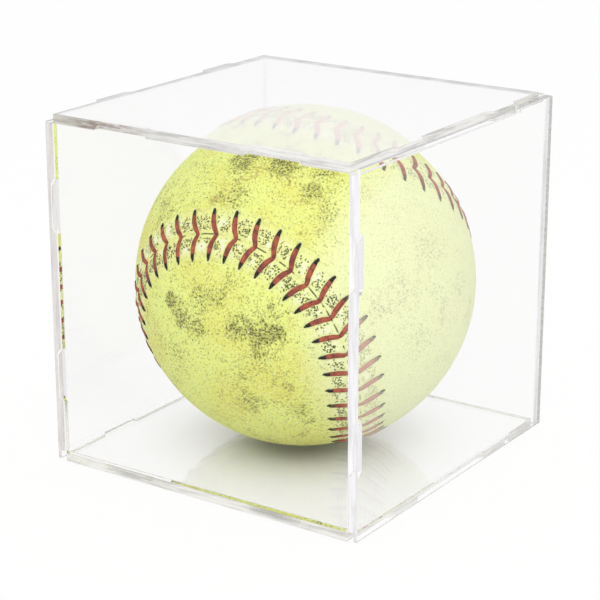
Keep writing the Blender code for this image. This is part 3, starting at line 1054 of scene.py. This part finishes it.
@dataclass
class Ball:
    """The softball: core, two covers and the lacing.

    A leg of the lacing has its widths at shares of its length, in hundredths of a millimetre.
    """

    centre: Triple = (0.0, 0.0, 0.0512)
    lie: Triple = (radians(5.78), radians(-35.47), radians(90.62))
    seam: Seam = field(default_factory=Seam)
    leather: Leather = field(default_factory=Leather)
    thread: Thread = field(default_factory=Thread)
    wall: float = 0.0026
    weld: float = 0.00001
    sharp: float = radians(60)
    spine_reach: float = radians(100)
    stations_per_stitch: int = 14
    near_rows: int = 26
    near_reach: float = 0.0095
    near_crowding: float = 1.35
    far_rows: int = 20
    lip: float = 0.00002
    leg_widths: tuple[tuple[float, ...], tuple[float, ...]] = (
        (0.0, 0.1, 0.3, 0.52, 0.74, 0.92, 1.0), (52, 64, 75, 78, 68, 42, 20)
    )
    leg_unit: float = 0.00001
    leg_sides: int = 8
    leg_start: float = -0.0003
    leg_longer: float = 0.0004
    leg_past: float = 0.0001
    leg_flatness: float = 0.4
    leg_rise: float = 0.24
    first_dive: Triple = (0.5, -0.3, 0.5)
    last_dive: Triple = (0.7, 0.0, 0.35)
    bed_limit: float = 0.0003
    level_from: float = 0.006
    level_drop: float = 0.0001

    def placed(self, points: Array) -> Array:
        """Points from the ball's centre, before it was laid down, as they lie in the frame."""
        turn = np.array(Euler(self.lie, "XYZ").to_matrix())
        return points @ turn.T + np.array(self.centre)

    @staticmethod
    def between(first: Array, second: Array, share: Array) -> Array:
        """Points this share of the way between others on a ball of radius 1.

        Args:
            first: The points at share 0.
            second: The points at share 1.
            share: The share of the way.

        Returns:
            The points, by the sines of both parts of the angle over the sine of the whole.
        """
        angle = np.arccos(np.clip((first * second).sum(-1, keepdims=True), -1, 1))
        mixed = np.sin((1 - share) * angle) * first + np.sin(share * angle) * second
        return mixed / np.sin(angle)

    def cover_rows(self) -> tuple[Array, Array]:
        """A cover's grid: stations along the seam, rows from the spine out and back beneath.

        Each seam point is joined to the nearest point of the spine, an arc over the neck from
        lobe to lobe. The rows by the seam lie at fixed distances from it, and the others share
        what is left.

        Returns:
            The rows' directions, and for each row its base radius, 0 where it is an outer row.
        """
        count = self.seam.stitches * self.stations_per_stitch
        place, _ = self.seam.at(np.arange(count) / self.stations_per_stitch)
        turn = np.arctan2(place[:, 1], place[:, 2])
        turn = np.clip(turn, -self.spine_reach, self.spine_reach)
        spine = np.stack([np.zeros(count), np.sin(turn), np.cos(turn)], -1)
        full = np.arccos((place * spine).sum(1, keepdims=True))
        steps = np.linspace(0, 1, self.near_rows) ** self.near_crowding
        near = self.lip + (self.near_reach - self.lip) * steps
        shares = [distance / (self.seam.radius * full) for distance in near]
        start = shares[-1]
        shares += [start + (1 - start) * row / self.far_rows for row in range(1, self.far_rows)]
        outer = [self.between(place, spine, share) for share in shares] + [spine]
        inner = [outer[0], self.between(place, spine, start), spine]
        rows = np.array(outer[::-1] + inner)
        radii = np.array([0.0] * len(outer) + [self.seam.radius - self.wall] * len(inner))
        return rows, radii

    def cover(self, name: str, turned: bool, node: str, material: Material) -> None:
        """One cover, with the leather's relief along the seam.

        Args:
            name: The piece's name.
            turned: Whether it is the cover that interlocks with the first.
            node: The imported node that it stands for.
            material: Its finish.
        """
        rows, radii = self.cover_rows()
        if turned:
            rows = rows @ np.array(Matrix.Rotation(pi, 3, Vector((1, 1, 0)))).T
        count, stations, _ = rows.shape
        flat = rows.reshape(-1, 3)
        number, across = self.seam.coordinates(flat)
        height = self.seam.relief(number, across).reshape(count, stations)
        radius = np.where(radii[:, None] > 0, radii[:, None], self.seam.radius + height)
        points = self.placed(flat * radius.reshape(-1, 1))
        mesh = bpy.data.meshes.new(name)
        mesh.from_pydata(points, [], quads(count, stations))
        for label, values in (("number", number), ("across", across * 1000)):
            layer = mesh.attributes.new(label, "FLOAT", "POINT")
            layer.data.foreach_set("value", values.astype(np.float32))
        turn_outwards(mesh, self.weld)
        places = self.stitching(mesh)
        mesh.uv_layers.new(name="stitching").data.foreach_set("uv", places.ravel())
        mesh.materials.append(material)
        mesh.shade_smooth()
        mesh.set_sharp_from_angle(angle=self.sharp)
        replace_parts(link(name, mesh, Body.SOFTBALL), node)

    def stitching(self, mesh: Mesh) -> Array:
        """A cover's two measures along and across the seam, as a map that doesn't tear.

        A face that spans the seam's start has its low stitch numbers raised by a full round.

        Args:
            mesh: The mesh with the attributes number and across, which are taken off.

        Returns:
            Both measures at each corner.
        """
        corner, measures = read(mesh.loops, "vertex_index", int), []
        for label in ("number", "across"):
            measures.append(read(mesh.attributes[label].data, "value", np.float32)[corner])
            mesh.attributes.remove(mesh.attributes[label])
        number, across = measures
        total = read(mesh.polygons, "loop_total", int)
        starts = np.concatenate([[0], np.cumsum(total)[:-1]])
        highest = np.repeat(np.maximum.reduceat(number, starts), total)
        torn = highest - number > self.seam.stitches / 2
        return np.stack([np.where(torn, number + self.seam.stitches, number), across], -1)

    def leg_rings(self, side: int, way: Array) -> Array:
        """The rings of every leg on one side of the seam.

        A leg follows the seam's stitch number minus the sweep at its distance. It swells from
        the seam to its middle, tapers to the hole and dives under the leather at both ends. A
        ring is its middle plus the width by a cosine and the depth by a sine.

        Args:
            side: 1 or -1 for the side.
            way: How far along the leg each ring lies, from 0 to 1.

        Returns:
            The points by stitch, ring and corner.
        """
        seam = self.seam
        away = self.leg_start + (seam.reach + self.leg_longer) * way
        across = side * away
        trail = seam.sweep(across)[None, :] * (away > 0)
        place, over = seam.at(seam.stitch_place(np.arange(seam.stitches))[:, None] - trail)
        angle = (across / seam.radius)[None, :, None]
        line = np.cos(angle) * place + np.sin(angle) * over
        dive = hump(away * 1000, *self.first_dive)
        dive += hump((seam.reach + self.leg_past - away) * 1000, *self.last_dive)
        bed = np.minimum(seam.relief(np.zeros(len(way)), across), self.bed_limit)
        height = np.where(away > self.level_from, bed.max() - self.level_drop, bed)
        height += (self.leg_rise - dive) / 1000
        centre = line * (seam.radius + height)[None, :, None]
        ahead = np.gradient(centre, axis=1)
        ahead /= np.linalg.norm(ahead, axis=-1, keepdims=True)
        wide = np.cross(line, ahead)
        wide /= np.linalg.norm(wide, axis=-1, keepdims=True)
        tall = np.cross(ahead, wide)
        width = self.leg_unit * np.interp(way, *self.leg_widths)
        depth = self.leg_flatness * width
        turn = np.arange(self.leg_sides) * 2 * pi / self.leg_sides
        return (
            centre[:, :, None]
            + wide[:, :, None] * (np.cos(turn) * width[:, None])[None, :, :, None]
            + tall[:, :, None] * (np.sin(turn) * depth[:, None])[None, :, :, None]
        )

    def lacing(self, node: str, material: Material) -> None:
        """The thread: two legs a stitch, each a flattened tube from the seam to its hole.

        Args:
            node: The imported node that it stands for.
            material: Its finish.
        """
        way, sides, legs = np.array(self.leg_widths[0]), self.leg_sides, 2 * self.seam.stitches
        points = np.concatenate([self.leg_rings(side, way) for side in (-1, 1)]).reshape(-1, 3)
        first = np.arange(legs)[:, None] * len(way) * sides
        walls = (first[..., None] + quads(len(way), sides)).reshape(-1, 4)
        order = np.arange(sides)
        ends = np.concatenate([first + order[::-1], first + (len(way) - 1) * sides + order])
        mesh = bpy.data.meshes.new("lacing")
        mesh.from_pydata(self.placed(points), [], walls.tolist() + ends.tolist())
        turn_outwards(mesh)
        lay = np.stack(np.meshgrid(way, order / sides, indexing="ij"), -1).reshape(-1, 2)
        lay = np.tile(lay, (legs, 1))[read(mesh.loops, "vertex_index", int)]
        mesh.uv_layers.new(name="lay").data.foreach_set("uv", lay.ravel())
        mesh.materials.append(material)
        mesh.shade_smooth()
        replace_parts(link("lacing", mesh, Body.SOFTBALL), node)

    def build(self) -> None:
        """Build the covers and the lacing, and dress the core."""
        leather = self.leather.material()
        self.cover("cover_left", False, "cover_panel_a", leather)
        self.cover("cover_right", True, "cover_panel_b", leather)
        self.lacing("seam_thread", self.thread.material())
        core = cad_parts["ball_core"]
        core.data.materials.clear()
        core.data.materials.append(Fibre().material())


@dataclass
class Studio:
    """Camera, lamp, pale floor and surroundings."""

    eye: Triple = (0.30582, -0.45130, 0.22444)
    azimuth: float = 0.598
    elevation: float = 0.319
    lens: float = 118.06
    nearest: float = 0.01
    around: float = 0.82
    floor_size: float = 4.0
    floor_level: float = -0.0001
    shaded: Pair = (0.006, 0.024)
    backdrop: Pair = (0.010, 0.055)
    backdrop_share: float = 0.9
    # painted shadow: the floor's darker colour round the ball's contact
    under: Colour = (0.5, 0.5, 0.47)
    matt: Colour = (0.93, 0.93, 0.93)
    white: Colour = (1.0, 1.0, 1.0)
    lamp_place: Triple = (0.9, -1.1, 1.9)
    lamp_target: Triple = (0.0, 0.0, 0.05)
    lamp_size: float = 1.6
    lamp_power: float = 20.0

    @staticmethod
    def hang(name: str, data: bpy.types.ID, place: Vector, way: Vector) -> bpy.types.Object:
        """Put the camera or a lamp in the scene.

        Args:
            name: Its name.
            data: What it is.
            place: Where it hangs.
            way: Which way it looks.

        Returns:
            Its object.
        """
        thing = bpy.data.objects.new(name, data)
        thing.location = place
        thing.rotation_mode = "QUATERNION"
        thing.rotation_quaternion = way.to_track_quat("-Z", "Y")
        bpy.context.scene.collection.objects.link(thing)
        return thing

    def camera(self) -> None:
        """A camera at the photograph's angle."""
        a, e = self.azimuth, self.elevation
        back = Vector((np.sin(a) * np.cos(e), -np.cos(a) * np.cos(e), np.sin(e)))
        data = bpy.data.cameras.new("camera")
        data.lens = self.lens
        data.clip_start = self.nearest
        bpy.context.scene.camera = self.hang("camera", data, Vector(self.eye), -back)

    def floor(self) -> None:
        """A plain white floor that keeps the ball's shadow, darkened round the ball's contact by a
        painted shadow, and is the backdrop farther away.
        """
        graph = Graph("floor")
        away = graph.vector("DISTANCE", graph.place(), (0.0, 0.0, 0.0))
        # painted shadow: darker near the ball's contact, plain farther out
        colour = graph.mix(self.under, (graph.span(away, *self.shaded), self.matt))
        matt, white = graph.out("BsdfDiffuse", colour), graph.out("Emission", self.white, 1.0)
        light = graph.add("LightPath").outputs
        mirrored = graph.times(light["Is Glossy Ray"], light["Is Reflection Ray"])
        seen = graph.math("MAXIMUM", light["Is Camera Ray"], mirrored)
        seen = graph.math("MAXIMUM", seen, light["Is Transmission Ray"])
        share = graph.times(seen, graph.span(away, *self.backdrop, 0.0, self.backdrop_share))
        size, level = self.floor_size, self.floor_level
        corners = [(x * size, y * size, level) for x, y in ((-1, -1), (1, -1), (1, 1), (-1, 1))]
        mesh = bpy.data.meshes.new("floor")
        mesh.from_pydata(corners, [], [(0, 1, 2, 3)])
        mesh.materials.append(graph.finish(graph.out("MixShader", share, matt, white)))
        link("floor", mesh, None)

    def world(self) -> None:
        """White surroundings, plainer as a light than as a backdrop."""
        graph = Graph("studio", bpy.data.worlds)
        light = graph.add("LightPath").outputs
        seen = graph.math("MAXIMUM", light["Is Camera Ray"], light["Is Glossy Ray"])
        seen = graph.math("MAXIMUM", seen, light["Is Transmission Ray"])
        strength = graph.out("MapRange", seen, 0.0, 1.0, self.around, 1.0)
        white = graph.out("Background", self.white, strength)
        bpy.context.scene.world = graph.finish(white, "OutputWorld")

    def lamp(self) -> None:
        """A soft square lamp that looks at the ball."""
        data = bpy.data.lights.new("key", "AREA")
        data.size = self.lamp_size
        data.energy = self.lamp_power
        place = Vector(self.lamp_place)
        lamp = self.hang("key", data, place, Vector(self.lamp_target) - place)
        lamp.visible_camera = False
        lamp.visible_transmission = False

    def build(self) -> None:
        """Set up the studio."""
        bpy.context.scene.view_settings.view_transform = "Standard"
        self.world()
        self.floor()
        self.lamp()
        self.camera()


def main() -> None:
    """Build the case, the ball and the studio."""
    logging.basicConfig(level=logging.INFO, format="%(message)s")
    Case().build()
    Ball().build()
    Studio().build()


if __name__ == "__main__":
    main()
